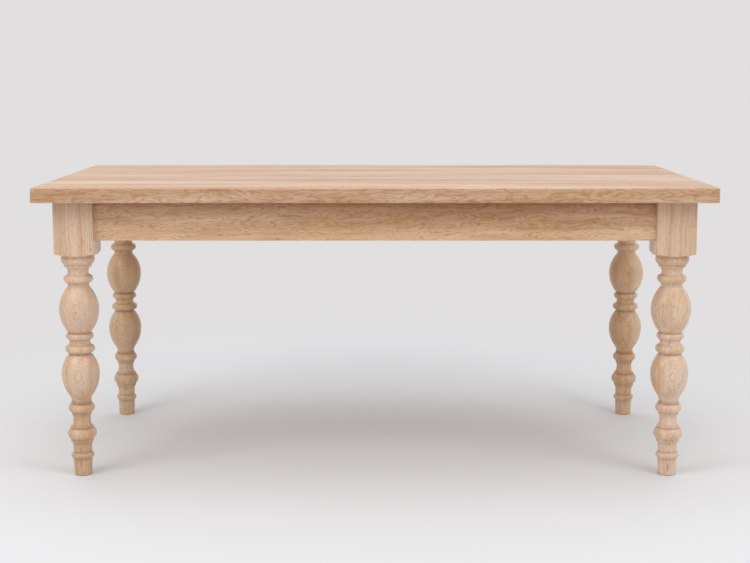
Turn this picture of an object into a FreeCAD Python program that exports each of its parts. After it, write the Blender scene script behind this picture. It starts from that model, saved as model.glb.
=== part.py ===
import FreeCAD, Part
import math
import os
from types import SimpleNamespace

import Sketcher

# A farmhouse dining table in oak: a plank top on a joined frame with four turned legs.
# The origin is on the floor under the middle of the top.
# X runs along the top, the front looks towards -Y and Z points up. Lengths are in millimetres.

SIZES = {
    # Whole table
    "table_height": 750,
    "top_length": 1700,
    "top_width": 850,
    "top_overhang": 45,
    # Plank top
    "top_thickness": 38,
    "top_corner_round": 6,
    "top_upper_round": 4,
    "top_lower_round": 2,
    "board_seam_chamfer": 0.6,
    # Loose tongues between the boards
    "tongue_width": 30,
    "tongue_thickness": 10,
    "tongue_stop": 70,
    "tongue_side_fit": 0.1,
    "tongue_end_fit": 1,
    # Square block at the head of a leg
    "leg_block": 100,
    "block_length": 143,
    "block_arris_round": 2.5,
    "shoulder_rise": 9.5,
    "shoulder_crown": 2.1,
    # Turning, from the floor up: heights of the members
    "toe_chamfer": 2.5,
    "foot_height": 42,
    "foot_bead_height": 15.5,
    "ankle_height": 28.5,
    "ankle_fillet_height": 6.5,
    "ankle_bead_height": 29.5,
    "shin_fillet_height": 4.5,
    "shin_height": 30.5,
    "knee_fillet_height": 5.5,
    "knee_bead_height": 23.5,
    "knee_cap_height": 4,
    "lower_ring_fillet_height": 3,
    "lower_ring_height": 20,
    "waist_height": 14.5,
    "upper_ring_height": 17,
    "upper_ring_fillet_height": 2,
    "neck_height": 6,
    "neck_bead_height": 20.5,
    "throat_height": 21,
    "collar_fillet_height": 5,
    "collar_height": 21.5,
    # Turning, from the floor up: diameters of the members
    "toe_diameter": 45,
    "foot_diameter": 48.5,
    "foot_bead_diameter": 58.5,
    "ankle_diameter": 47.5,
    "ankle_waist_diameter": 48,
    "ankle_flare_diameter": 52,
    "ankle_fillet_diameter": 58,
    "ankle_bead_diameter": 73.5,
    "shin_fillet_diameter": 57.5,
    "shin_flare_diameter": 51,
    "shin_waist_diameter": 44,
    "shin_top_diameter": 47,
    "knee_fillet_diameter": 50.5,
    "knee_bead_diameter": 66.5,
    "knee_cap_diameter": 52.5,
    "lower_neck_diameter": 48,
    "lower_vase_diameter": 96,
    "lower_vase_mouth_diameter": 57,
    "lower_ring_base_diameter": 56,
    "lower_ring_diameter": 75,
    "waist_diameter": 52.5,
    "upper_ring_base_diameter": 55.5,
    "upper_ring_diameter": 70,
    "upper_vase_seat_diameter": 59,
    "upper_vase_diameter": 101,
    "neck_diameter": 53.5,
    "neck_bead_diameter": 74.5,
    "throat_base_diameter": 56,
    "throat_waist_diameter": 53,
    "throat_flare_diameter": 64,
    "collar_fillet_diameter": 69,
    "collar_diameter": 81,
    "collar_crown": 4.7,
    # Hollows that lead into the two vases
    "lower_neck_hollow_radius": 28,
    "upper_neck_hollow_radius": 9.5,
    # Aprons and their tenons
    "apron_height": 100,
    "apron_thickness": 25,
    "apron_setback": 15,
    "apron_arris_round": 2,
    "tenon_length": 48,
    "tenon_thickness": 11,
    "tenon_lower_shoulder": 10,
    "haunch_height": 18,
    "haunch_length": 14,
    "mortise_side_fit": 0.1,
    "mortise_end_fit": 2,
    # Groove and buttons that hold the top down
    "groove_drop": 12,
    "groove_height": 10,
    "groove_depth": 10,
    "button_width": 32,
    "button_length": 36,
    "button_tongue": 8,
    "button_tongue_thickness": 9,
    "button_shoulder_gap": 2,
    "button_top_gap": 0.8,
    "button_arris_chamfer": 2,
    # Cross rails under the top
    "rail_thickness": 28,
    "rail_height": 60,
    "rail_housing": 8,
    "rail_fit": 0.1,
    "rail_arris_chamfer": 3,
    "rail_counterbore_depth": 30,
    "rail_slot_travel": 6,
    # Diagonal braces in the corners of the frame
    "brace_height": 75,
    "brace_drop": 8,
    "brace_foot": 40,
    "brace_clearance": 4,
    "brace_screw_seat": 12,
    # Wood screws
    "screw_diameter": 4.5,
    "screw_head_diameter": 9,
    "screw_head_height": 3.6,
    "screw_point": 5,
    "screw_bite": 15,
    "screw_fit": 0.15,
    "counterbore_fit": 0.8,
    "pilot_end_fit": 1,
    # Distance by which a cut runs past the face that it opens
    "cut_overrun": 5,
}

BOARD_COUNT = 4
LONG_BUTTON_COUNT = 4
LOWER_VASE_HEIGHT_SHARE = 0.509
LOWER_BELLY_SHARE = 0.59
UPPER_BELLY_SHARE = 0.48
SHOULDER_REACH_SHARE = 0.75
BRACE_SCREW_SHARES = (0.22, 0.6)
DOME_SHARES = (0.62, 0.86)

# Each corner of the frame: how far it is turned from the front left one, and its signs along X and Y.
CORNERS = {
    "front_left": (0, -1, -1),
    "front_right": (1, 1, -1),
    "back_right": (2, 1, 1),
    "back_left": (3, -1, 1),
}

# Each side of the frame: how far it is turned from the front.
SIDES = {"front": 0, "right": 1, "back": 2, "left": 3}

# Features that take wood away
CUTS = ("PartDesign::Pocket", "PartDesign::Groove", "PartDesign::SubtractiveBox")

SKETCH_ORIGIN = -1
H_AXIS = -1
V_AXIS = -2
START, END, CENTRE = 1, 2, 3
QUARTER_TURN = 90
FULL_TURN = 360
SAME_PLACE = 1e-6


class Size:
    """A length that carries its number together with the sheet expression that gives it."""

    def __init__(self, number, text):
        self.number = number
        self.text = text

    @staticmethod
    def of(value):
        return value if isinstance(value, Size) else Size(float(value), repr(value))

    def joined(self, sign, other, number):
        return Size(number, f"({self.text} {sign} {other.text})")

    def __add__(self, other):
        other = Size.of(other)
        return self.joined("+", other, self.number + other.number)

    def __sub__(self, other):
        other = Size.of(other)
        return self.joined("-", other, self.number - other.number)

    def __mul__(self, other):
        other = Size.of(other)
        return self.joined("*", other, self.number * other.number)

    def __truediv__(self, other):
        other = Size.of(other)
        return self.joined("/", other, self.number / other.number)

    def __neg__(self):
        return Size(-self.number, f"(-{self.text})")

    __radd__ = __add__
    __rmul__ = __mul__


ZERO = Size(0.0, "0")


def make_sheet(document):
    """Write the driving sizes into a sheet and return them by name."""
    sheet = document.addObject("Spreadsheet::Sheet", "Sizes")
    for row, (name, value) in enumerate(SIZES.items(), start=1):
        sheet.set(f"A{row}", name.replace("_", " "))
        sheet.set(f"B{row}", str(value))
        sheet.setAlias(f"B{row}", name)
    document.recompute()
    return SimpleNamespace(**{name: Size(float(sheet.get(name)), f"Sizes.{name}") for name in SIZES})


doc = FreeCAD.newDocument("FarmhouseTable")
size = make_sheet(doc)

leg_height = size.table_height - size.top_thickness
board_width = size.top_width / BOARD_COUNT
frame_length = size.top_length - 2 * size.top_overhang
frame_width = size.top_width - 2 * size.top_overhang
apron_bottom = leg_height - size.apron_height
apron_line = size.apron_setback + size.apron_thickness / 2
apron_inset = size.apron_setback + size.apron_thickness
brace_start = 2 * size.leg_block + size.brace_clearance - apron_inset
brace_screw_line = brace_start + size.brace_foot / 2
brace_end = brace_start + size.brace_foot
brace_bottom = leg_height - size.brace_drop - size.brace_height
clear_span = frame_length - 2 * brace_end
screw_bore = size.screw_diameter + 2 * size.screw_fit
counterbore = size.screw_head_diameter + 2 * size.counterbore_fit
pilot_depth = size.screw_bite + size.pilot_end_fit
button_thickness = size.groove_drop + size.button_tongue_thickness - size.button_top_gap
button_bottom = leg_height - size.button_top_gap - button_thickness
button_screw_line = size.button_shoulder_gap + size.button_length / 2


def turned(x, y, quarters):
    """Turn a plan position about the origin by quarter turns."""
    return [(x, y), (-y, x), (-x, -y), (y, -x)][quarters]


def bind(thing, path, value):
    """Drive one property of an object from the sheet."""
    thing.setExpression(path, value.text)


def place(thing, x, y, z, quarters=0):
    """Set an object down at a plan position and height, turned by quarter turns."""
    turn = FreeCAD.Rotation(FreeCAD.Vector(0, 0, 1), QUARTER_TURN * quarters)
    thing.Placement = FreeCAD.Placement(FreeCAD.Vector(x.number, y.number, z.number), turn)
    for axis, value in zip("xyz", (x, y, z)):
        bind(thing, f"Placement.Base.{axis}", value)


def new_body(name):
    """Start a named piece."""
    body = doc.addObject("PartDesign::Body", name)
    body.Label = name
    return body


class Drawing:
    """A sketch on an origin plane of a body, at a level along the axis that the plane faces."""

    FACING = {"XY_Plane": 1, "XZ_Plane": -1, "YZ_Plane": 1}

    def __init__(self, body, name, plane, level=ZERO):
        self.sketch = body.newObject("Sketcher::SketchObject", name)
        support = [feature for feature in body.Origin.OriginFeatures if feature.Role == plane]
        self.sketch.AttachmentSupport = [(support[0], "")]
        self.sketch.MapMode = "FlatFace"
        self.facing = self.FACING[plane]
        if level is not ZERO:
            bind(self.sketch, "AttachmentOffset.Base.z", self.facing * level)

    def pin(self, geometry, end, across, up):
        """Hold one point of the sketch at sheet sizes from its origin."""
        for kind, axis, value in (("DistanceX", V_AXIS, across), ("DistanceY", H_AXIS, up)):
            if abs(value.number) < SAME_PLACE:
                self.sketch.addConstraint(Sketcher.Constraint("PointOnObject", geometry, end, axis))
                continue
            held = Sketcher.Constraint(kind, SKETCH_ORIGIN, START, geometry, end, value.number)
            bind(self.sketch, f"Constraints[{self.sketch.addConstraint(held)}]", value)

    def measure(self, kind, geometry, value):
        """Set a radius or a diameter from the sheet."""
        held = Sketcher.Constraint(kind, geometry, value.number)
        bind(self.sketch, f"Constraints[{self.sketch.addConstraint(held)}]", value)

    def circles(self, centres, diameter):
        """Draw equal circles."""
        for across, up in centres:
            middle = FreeCAD.Vector(across.number, up.number, 0)
            ring = Part.Circle(middle, FreeCAD.Vector(0, 0, 1), diameter.number / 2)
            geometry = self.sketch.addGeometry(ring, False)
            self.pin(geometry, CENTRE, across, up)
            self.measure("Diameter", geometry, diameter)
        return self


class Outline(Drawing):
    """A closed outline, drawn corner by corner from a starting point."""

    def start(self, across, up):
        self.corners = [(across, up)]
        self.edges = []
        return self

    def line(self, across, up):
        """Draw a straight edge to a point."""
        self.edges.append(None)
        self.corners.append((across, up))
        return self

    def arc(self, across, up, radius, depth):
        """Draw a round edge to a point. A positive depth swells to the right of the way there."""
        self.edges.append((radius, depth))
        self.corners.append((across, up))
        return self

    def minor_arc(self, across, up, radius, side=1):
        """Draw less than half a circle to a point, swelling to the right or, for side -1, to the left."""
        first, rise = self.corners[-1]
        half_run = math.hypot(across.number - first.number, up.number - rise.number) / 2
        depth = radius.number - math.sqrt(radius.number ** 2 - half_run ** 2)
        return self.arc(across, up, radius, side * depth)

    def curve(self, number):
        """The edge between two neighbouring corners, and the radius that holds it."""
        first, last = self.corners[number], self.corners[(number + 1) % len(self.corners)]
        first = FreeCAD.Vector(first[0].number, first[1].number, 0)
        last = FreeCAD.Vector(last[0].number, last[1].number, 0)
        if self.edges[number] is None:
            return Part.LineSegment(first, last), None
        radius, depth = self.edges[number]
        way = last - first
        right = FreeCAD.Vector(way.y, -way.x, 0).normalize()
        return Part.Arc(first, (first + last) / 2 + right * depth, last), radius

    def ends(self, number):
        """The sketch's names for the first and last end of an edge: a hollow arc is kept turned round."""
        edge = self.edges[number]
        return (END, START) if edge is not None and edge[1] < 0 else (START, END)

    def close(self):
        """Close the outline with a straight edge and hold every corner at its sizes."""
        self.edges.append(None)
        count = len(self.corners)
        curves = [self.curve(number) for number in range(count)]
        self.sketch.addGeometry([edge for edge, radius in curves], False)
        self.sketch.addConstraint([
            Sketcher.Constraint("Coincident", number, self.ends(number)[1], after, self.ends(after)[0])
            for number, after in ((number, (number + 1) % count) for number in range(count))
        ])
        for number, (across, up) in enumerate(self.corners):
            self.pin(number, self.ends(number)[0], across, up)
        for number, (edge, radius) in enumerate(curves):
            if radius is not None:
                self.measure("Radius", number, radius)
        return self

    def rectangle(self, across, up, width, height):
        """Draw a rectangle from its lower left corner."""
        self.start(across, up)
        self.line(across + width, up)
        self.line(across + width, up + height)
        self.line(across, up + height)
        return self.close()

    def slot(self, near, far, width):
        """Draw a round-ended slot along the upright axis between the middles of its ends."""
        side = width / 2
        self.start(-side, near)
        self.minor_arc(ZERO, near - side, side)
        self.minor_arc(side, near, side)
        self.line(side, far)
        self.minor_arc(ZERO, far + side, side)
        self.minor_arc(-side, far, side)
        return self.close()


class Turning(Outline):
    """The half outline of a turned post, drawn from the floor up in a turner's words."""

    def begin(self, diameter):
        self.start(ZERO, ZERO)
        self.level = ZERO
        self.radius = ZERO
        return self.step(diameter)

    def reach(self, diameter, height):
        self.radius = diameter / 2
        self.level = self.level + height

    def step(self, diameter):
        """Square shoulder to another diameter."""
        self.reach(diameter, ZERO)
        return self.line(self.radius, self.level)

    def taper(self, diameter, height):
        """Straight run, with the diameter that it ends at."""
        self.reach(diameter, height)
        return self.line(self.radius, self.level)

    def bead(self, diameter, height):
        """Half-round ring that comes back to the diameter that it starts from."""
        depth = diameter / 2 - self.radius
        radius = (height * height / 4 + depth * depth) / (2 * depth)
        self.level = self.level + height
        return self.arc(self.radius, self.level, radius, depth.number)

    def hollow(self, waist, diameter, height):
        """Cove through a waist at half its height."""
        return self.bow(-((self.radius + diameter / 2) / 2 - waist / 2), diameter, height)

    def bow(self, depth, diameter, height):
        """Round run to another diameter. A positive depth swells and a negative one is hollow."""
        across = diameter / 2 - self.radius
        chord = across * across + height * height
        sign = math.copysign(1, depth.number)
        radius = (chord / 4 + depth * depth) / (2 * depth) * sign
        self.reach(diameter, height)
        return self.arc(self.radius, self.level, radius, depth.number)

    def swell(self, diameter, height):
        """Half of a vase that starts at a seat and is upright at its belly."""
        across = diameter / 2 - self.radius
        return self.belly_arc(diameter, height, (across * across + height * height) / (2 * across))

    def shrink(self, diameter, height):
        """Half of a vase that is upright at its belly and ends at a mouth."""
        across = self.radius - diameter / 2
        return self.belly_arc(diameter, height, (across * across + height * height) / (2 * across))

    def belly_arc(self, diameter, height, radius):
        """Swelling arc of a known radius to another diameter."""
        self.reach(diameter, height)
        return self.minor_arc(self.radius, self.level, radius)

    def neck_arc(self, diameter, height, radius):
        """Hollow arc of a known radius to another diameter."""
        self.reach(diameter, height)
        return self.minor_arc(self.radius, self.level, radius, -1)

    def neck_to_belly(self, diameter, height, hollow):
        """Ogee that rises upright from a neck and comes upright to a belly."""
        across = diameter / 2 - self.radius
        reach = (across * across + height * height) / (2 * across)
        joint = 2 * (self.radius + hollow * across / reach)
        rise = hollow * height / reach
        self.neck_arc(joint, rise, hollow)
        return self.belly_arc(diameter, height - rise, reach - hollow)

    def belly_to_neck(self, diameter, height, hollow):
        """Ogee that leaves a belly upright and comes upright to a neck."""
        across = self.radius - diameter / 2
        reach = (across * across + height * height) / (2 * across)
        joint = 2 * (diameter / 2 + hollow * across / reach)
        rise = hollow * height / reach
        self.belly_arc(joint, height - rise, reach - hollow)
        return self.neck_arc(diameter, rise, hollow)

    def finish(self):
        """Run back to the axis and down it."""
        self.line(ZERO, self.level)
        return self.close()


def pad(body, name, drawing, length, symmetric=False, reversed_way=False):
    """Extrude a sketch."""
    feature = body.newObject("PartDesign::Pad", name)
    feature.Profile = drawing.sketch
    bind(feature, "Length", length)
    feature.SideType = "Symmetric" if symmetric else "One side"
    feature.Reversed = reversed_way
    return feature


def pocket(body, name, drawing, depth, forward):
    """Cut a sketch into the body, forward or back along its axis."""
    feature = body.newObject("PartDesign::Pocket", name)
    feature.Profile = drawing.sketch
    bind(feature, "Length", depth)
    feature.Reversed = forward == (drawing.facing > 0)
    return feature


def lathe(body, kind, name, drawing):
    """Turn a sketch about its own upright axis, as an added or a cut form."""
    feature = body.newObject(kind, name)
    feature.Profile = drawing.sketch
    feature.ReferenceAxis = (drawing.sketch, ["V_Axis"])
    feature.Angle = FULL_TURN
    return feature


def cut_box(body, name, corner, spans):
    """Cut a square recess from its lowest corner."""
    feature = body.newObject("PartDesign::SubtractiveBox", name)
    for path, value in zip(("Length", "Width", "Height"), spans):
        bind(feature, path, value)
    for axis, value in zip("xyz", corner):
        bind(feature, f"Placement.Base.{axis}", value)
    return feature


def edges_at(shape, **levels):
    """Names of the edges that lie at one of the given levels along each given axis."""
    names = []
    for number, edge in enumerate(shape.Edges, start=1):
        box = edge.BoundBox
        spans = {"x": (box.XMin, box.XMax), "y": (box.YMin, box.YMax), "z": (box.ZMin, box.ZMax)}
        flat = [
            any(max(abs(end - level.number) for end in spans[axis]) < SAME_PLACE for level in chosen)
            for axis, chosen in levels.items()
        ]
        if all(flat):
            names.append(f"Edge{number}")
    return names


def ease(body, kind, name, value, *choices):
    """Round or chamfer the edges of the last feature that lie at the given levels."""
    doc.recompute()
    base = body.Tip
    names = [edge for levels in choices for edge in edges_at(base.Shape, **levels)]
    feature = body.newObject(f"PartDesign::{kind}", name)
    feature.Base = (base, names)
    bind(feature, "Radius" if kind == "Fillet" else "Size", value)
    return feature


def board_middle(number):
    """Distance of a board's middle line behind the middle of the top."""
    return board_width * (number + 0.5) - size.top_width / 2


def make_board(number, screw_places):
    """One plank of the top, grooved for its tongues, with pilot holes for the screws below it."""
    body = new_body(f"top_board_{number + 1}")
    middle = board_middle(number)
    half_length = size.top_length / 2
    half_width = board_width / 2
    plan = Outline(body, "Plan", "XY_Plane")
    plan.rectangle(-half_length, -half_width, size.top_length, board_width)
    pad(body, "Plank", plan, size.top_thickness)
    ends = [-half_length, half_length]
    seams = []
    rims = []
    (rims if number == 0 else seams).append(-half_width)
    (rims if number == BOARD_COUNT - 1 else seams).append(half_width)
    top = [size.top_thickness]
    under = [ZERO]
    if rims:
        ease(body, "Fillet", "Corners", size.top_corner_round, {"x": ends, "y": rims})
    ease(body, "Fillet", "UpperRound", size.top_upper_round, {"x": ends, "z": top}, {"y": rims, "z": top})
    ease(body, "Fillet", "LowerRound", size.top_lower_round, {"x": ends, "z": under}, {"y": rims, "z": under})
    ease(body, "Chamfer", "Seams", size.board_seam_chamfer, {"y": seams, "z": top})
    groove_depth = size.tongue_width / 2 + size.tongue_end_fit
    groove_height = size.tongue_thickness + 2 * size.tongue_side_fit
    groove_length = size.top_length - 2 * size.tongue_stop + 2 * size.tongue_end_fit
    for seam in seams:
        outer = seam if seam.number < 0 else seam - groove_depth
        low = (size.top_thickness - groove_height) / 2
        if seam.number < 0:
            outer = outer - size.cut_overrun
        cut_box(body, "TongueGroove", (-groove_length / 2, outer, low),
                (groove_length, groove_depth + size.cut_overrun, groove_height))
    centres = [
        (x, y - middle) for x, y in screw_places
        if abs(y.number - middle.number) < half_width.number
    ]
    holes = Drawing(body, "PilotPlaces", "XY_Plane").circles(centres, screw_bore)
    pocket(body, "Pilots", holes, pilot_depth, True)
    place(body, ZERO, middle, leg_height)
    return body


def make_tongue(number):
    """Loose tongue in the seam behind a board."""
    name = f"board_tongue_{number + 1}"
    tongue = doc.addObject("Part::Box", name)
    length = size.top_length - 2 * size.tongue_stop
    bind(tongue, "Length", length)
    bind(tongue, "Width", size.tongue_width)
    bind(tongue, "Height", size.tongue_thickness)
    seam = board_middle(number) + board_width / 2
    low = leg_height + (size.top_thickness - size.tongue_thickness) / 2
    place(tongue, -length / 2, seam - size.tongue_width / 2, low)
    return tongue


def draw_turning(body):
    """The turned outline of a leg, from its toe to the collar under the square block."""
    fixed = [
        size.toe_chamfer, size.foot_height, size.foot_bead_height, size.ankle_height,
        size.ankle_fillet_height, size.ankle_bead_height, size.shin_fillet_height, size.shin_height,
        size.knee_fillet_height, size.knee_bead_height, size.knee_cap_height,
        size.lower_ring_fillet_height, size.lower_ring_height, size.waist_height,
        size.upper_ring_height, size.upper_ring_fillet_height, size.neck_height,
        size.neck_bead_height, size.throat_height, size.collar_fillet_height, size.collar_height,
    ]
    vases = leg_height - size.block_length - sum(fixed, ZERO)
    lower_vase = vases * LOWER_VASE_HEIGHT_SHARE
    upper_vase = vases - lower_vase
    lower_belly = lower_vase * LOWER_BELLY_SHARE
    upper_belly = upper_vase * UPPER_BELLY_SHARE
    post = Turning(body, "TurnedOutline", "XZ_Plane")
    # Foot and its bead
    post.begin(size.toe_diameter - 2 * size.toe_chamfer)
    post.taper(size.toe_diameter, size.toe_chamfer)
    post.taper(size.foot_diameter, size.foot_height)
    post.bead(size.foot_bead_diameter, size.foot_bead_height)
    # Ankle with the large bead between two fillets
    post.step(size.ankle_diameter)
    post.hollow(size.ankle_waist_diameter, size.ankle_flare_diameter, size.ankle_height)
    post.step(size.ankle_fillet_diameter)
    post.taper(size.ankle_fillet_diameter, size.ankle_fillet_height)
    post.bead(size.ankle_bead_diameter, size.ankle_bead_height)
    post.step(size.shin_fillet_diameter)
    post.taper(size.shin_fillet_diameter, size.shin_fillet_height)
    # Shin and the knee bead
    post.step(size.shin_flare_diameter)
    post.hollow(size.shin_waist_diameter, size.shin_top_diameter, size.shin_height)
    post.step(size.knee_fillet_diameter)
    post.taper(size.knee_fillet_diameter, size.knee_fillet_height)
    post.bead(size.knee_bead_diameter, size.knee_bead_height)
    post.step(size.knee_cap_diameter)
    post.taper(size.knee_cap_diameter, size.knee_cap_height)
    # Lower vase
    post.step(size.lower_neck_diameter)
    post.neck_to_belly(size.lower_vase_diameter, lower_belly, size.lower_neck_hollow_radius)
    post.shrink(size.lower_vase_mouth_diameter, lower_vase - lower_belly)
    # Two rings with a waist between them
    post.step(size.lower_ring_base_diameter)
    post.taper(size.lower_ring_base_diameter, size.lower_ring_fillet_height)
    post.bead(size.lower_ring_diameter, size.lower_ring_height)
    post.hollow(size.waist_diameter, size.upper_ring_base_diameter, size.waist_height)
    post.bead(size.upper_ring_diameter, size.upper_ring_height)
    post.taper(size.upper_ring_base_diameter, size.upper_ring_fillet_height)
    # Upper vase
    post.step(size.upper_vase_seat_diameter)
    post.swell(size.upper_vase_diameter, upper_belly)
    post.belly_to_neck(size.neck_diameter, upper_vase - upper_belly, size.upper_neck_hollow_radius)
    # Neck bead, throat and collar
    post.taper(size.throat_base_diameter, size.neck_height)
    post.bead(size.neck_bead_diameter, size.neck_bead_height)
    post.hollow(size.throat_waist_diameter, size.throat_flare_diameter, size.throat_height)
    post.step(size.collar_fillet_diameter)
    post.taper(size.collar_fillet_diameter, size.collar_fillet_height)
    post.bow(size.collar_crown, size.collar_diameter, size.collar_height)
    return post.finish()


def draw_shoulder(body):
    """The ring that is turned away under the corners of a leg's square block."""
    low = leg_height - size.block_length
    near = size.collar_diameter / 2
    far = size.leg_block * SHOULDER_REACH_SHARE
    chord = (far - near) * (far - near) + size.shoulder_rise * size.shoulder_rise
    radius = (chord / 4 + size.shoulder_crown * size.shoulder_crown) / (2 * size.shoulder_crown)
    ring = Outline(body, "ShoulderOutline", "XZ_Plane")
    ring.start(near, low)
    ring.arc(far, low + size.shoulder_rise, radius, -size.shoulder_crown.number)
    ring.line(far, low)
    return ring.close()


def make_leg(corner):
    """A leg: square block with two haunched mortises over a turned post."""
    quarters, along, across = CORNERS[corner]
    body = new_body(f"leg_{corner}")
    half = size.leg_block / 2
    low = leg_height - size.block_length
    lathe(body, "PartDesign::Revolution", "Turned", draw_turning(body))
    plan = Outline(body, "BlockPlan", "XY_Plane", low)
    plan.rectangle(-half, -half, size.leg_block, size.leg_block)
    pad(body, "Block", plan, size.block_length)
    lathe(body, "PartDesign::Groove", "Shoulder", draw_shoulder(body))
    ease(body, "Fillet", "Arrises", size.block_arris_round, {"x": [-half, half], "y": [-half, half]})
    cheek = size.tenon_thickness + 2 * size.mortise_side_fit
    line = apron_line - half - cheek / 2
    main_low = apron_bottom + size.tenon_lower_shoulder - size.mortise_side_fit
    haunch_low = leg_height - size.haunch_height - size.mortise_side_fit
    depth = size.tenon_length + size.mortise_end_fit
    haunch_depth = size.haunch_length + size.mortise_end_fit
    for name, deep, z, height in (
        ("Mortise", depth, main_low, haunch_low - main_low + 2 * size.mortise_side_fit),
        ("Haunch", haunch_depth, haunch_low, size.haunch_height + size.cut_overrun),
    ):
        long_way = deep + size.cut_overrun
        cut_box(body, f"Long{name}", (half - deep, line, z), (long_way, cheek, height))
        cut_box(body, f"Short{name}", (line, half - deep, z), (cheek, long_way, height))
    x = along * (frame_length / 2 - half)
    y = across * (frame_width / 2 - half)
    place(body, x, y, ZERO, quarters)
    return body


def rail_places():
    """Distances of the cross rails along the table from its middle."""
    return [-clear_span / 4, clear_span / 4]


def apron_reach(side):
    """Distances over the legs along a side, and from the table's middle to the middle of its apron."""
    long_side = side in ("front", "back")
    length, across = (frame_length, frame_width) if long_side else (frame_width, frame_length)
    return long_side, length, across / 2 - apron_line


def make_apron(side):
    """An apron with a haunched tenon at each end, grooved inside for the buttons."""
    long_side, over_legs, distance = apron_reach(side)
    body = new_body(f"apron_{side}")
    length = over_legs - 2 * size.leg_block
    half = length / 2
    inner = size.apron_thickness / 2
    face = Outline(body, "Face", "XZ_Plane")
    face.rectangle(-half, apron_bottom, length, size.apron_height)
    pad(body, "Board", face, size.apron_thickness, symmetric=True)
    ease(body, "Fillet", "LowerArris", size.apron_arris_round, {"y": [-inner, inner], "z": [apron_bottom]})
    tenons = Outline(body, "TenonOutline", "XZ_Plane")
    tenon_low = apron_bottom + size.tenon_lower_shoulder
    tenon_high = leg_height - size.haunch_height
    end = half + size.tenon_length
    haunch = half + size.haunch_length
    tenons.start(-end, tenon_low).line(end, tenon_low).line(end, tenon_high)
    tenons.line(haunch, tenon_high).line(haunch, leg_height).line(-haunch, leg_height)
    tenons.line(-haunch, tenon_high).line(-end, tenon_high).close()
    pad(body, "Tenons", tenons, size.tenon_thickness, symmetric=True)
    groove_low = leg_height - size.groove_drop - size.groove_height
    cut_box(body, "ButtonGroove", (-half, inner - size.groove_depth, groove_low),
            (length, size.groove_depth + size.cut_overrun, size.groove_height))
    if long_side:
        housing = size.rail_thickness + 2 * size.rail_fit
        rail_low = leg_height - size.rail_height - size.rail_fit
        for x in rail_places():
            cut_box(body, "RailHousing", (x - housing / 2, inner - size.rail_housing, rail_low),
                    (housing, size.rail_housing + size.cut_overrun, size.rail_height + size.cut_overrun))
    screw_line = over_legs / 2 - brace_screw_line
    centres = [
        (x, brace_bottom + size.brace_height * share)
        for x in (-screw_line, screw_line) for share in BRACE_SCREW_SHARES
    ]
    holes = Drawing(body, "PilotPlaces", "XZ_Plane", inner).circles(centres, screw_bore)
    pocket(body, "Pilots", holes, pilot_depth, False)
    x, y = turned(ZERO, -distance, SIDES[side])
    place(body, x, y, ZERO, SIDES[side])
    return body


def make_brace(corner):
    """Diagonal brace between two aprons, counterbored for two screws at each end."""
    quarters, along, across = CORNERS[corner]
    body = new_body(f"corner_brace_{corner}")
    plan = Outline(body, "Plan", "XY_Plane")
    plan.start(brace_start, apron_inset).line(brace_end, apron_inset)
    plan.line(apron_inset, brace_end).line(apron_inset, brace_start).close()
    pad(body, "Brace", plan, size.brace_height)
    levels = [size.brace_height * share for share in BRACE_SCREW_SHARES]
    centres = [(brace_screw_line, level) for level in levels]
    seat = apron_inset + size.brace_screw_seat
    for plane in ("XZ_Plane", "YZ_Plane"):
        bores = Drawing(body, "BorePlaces", plane, apron_inset - size.cut_overrun)
        bores.circles(centres, screw_bore)
        pocket(body, "Bores", bores, size.brace_foot + size.cut_overrun, True)
        heads = Drawing(body, "HeadPlaces", plane, seat).circles(centres, counterbore)
        pocket(body, "Heads", heads, size.brace_foot, True)
    x = along * (frame_length / 2)
    y = across * (frame_width / 2)
    place(body, x, y, brace_bottom, quarters)
    return body


def make_rail(side, x):
    """Cross rail let into the two long aprons, slotted so that the boards can move."""
    body = new_body(f"cross_rail_{side}")
    span = frame_width - 2 * apron_inset
    length = span + 2 * size.rail_housing - 2 * size.rail_fit
    half = size.rail_thickness / 2
    face = Outline(body, "Face", "YZ_Plane")
    face.rectangle(-length / 2, ZERO, length, size.rail_height)
    pad(body, "Rail", face, size.rail_thickness, symmetric=True)
    ease(body, "Chamfer", "LowerArris", size.rail_arris_chamfer, {"x": [-half, half], "z": [ZERO]})
    middles = [board_middle(number) for number in range(BOARD_COUNT)]
    for name, width, depth in (
        ("Slots", screw_bore, size.rail_height),
        ("Counterbores", counterbore, size.rail_counterbore_depth),
    ):
        for middle in middles:
            slot = Outline(body, f"{name}Plan", "XY_Plane", -size.cut_overrun)
            slot.slot(middle - size.rail_slot_travel / 2, middle + size.rail_slot_travel / 2, width)
            pocket(body, name, slot, depth + size.cut_overrun, True)
    place(body, x, ZERO, leg_height - size.rail_height)
    return body


def button_places():
    """Name, side and distance along its apron of every button."""
    places = []
    step = clear_span / LONG_BUTTON_COUNT
    for side in ("front", "back"):
        for number in range(LONG_BUTTON_COUNT):
            places.append((f"top_button_{side}_{number + 1}", side, step * (number + 0.5) - clear_span / 2))
    for side in ("left", "right"):
        for number, x in enumerate((-board_width / 2, board_width / 2)):
            places.append((f"top_button_{side}_{number + 1}", side, x))
    return places


def inside_apron(side, along, inward):
    """Plan position at a distance along an apron and in from its inner face."""
    long_side, over_legs, distance = apron_reach(side)
    return turned(along, size.apron_thickness / 2 + inward - distance, SIDES[side])


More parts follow.
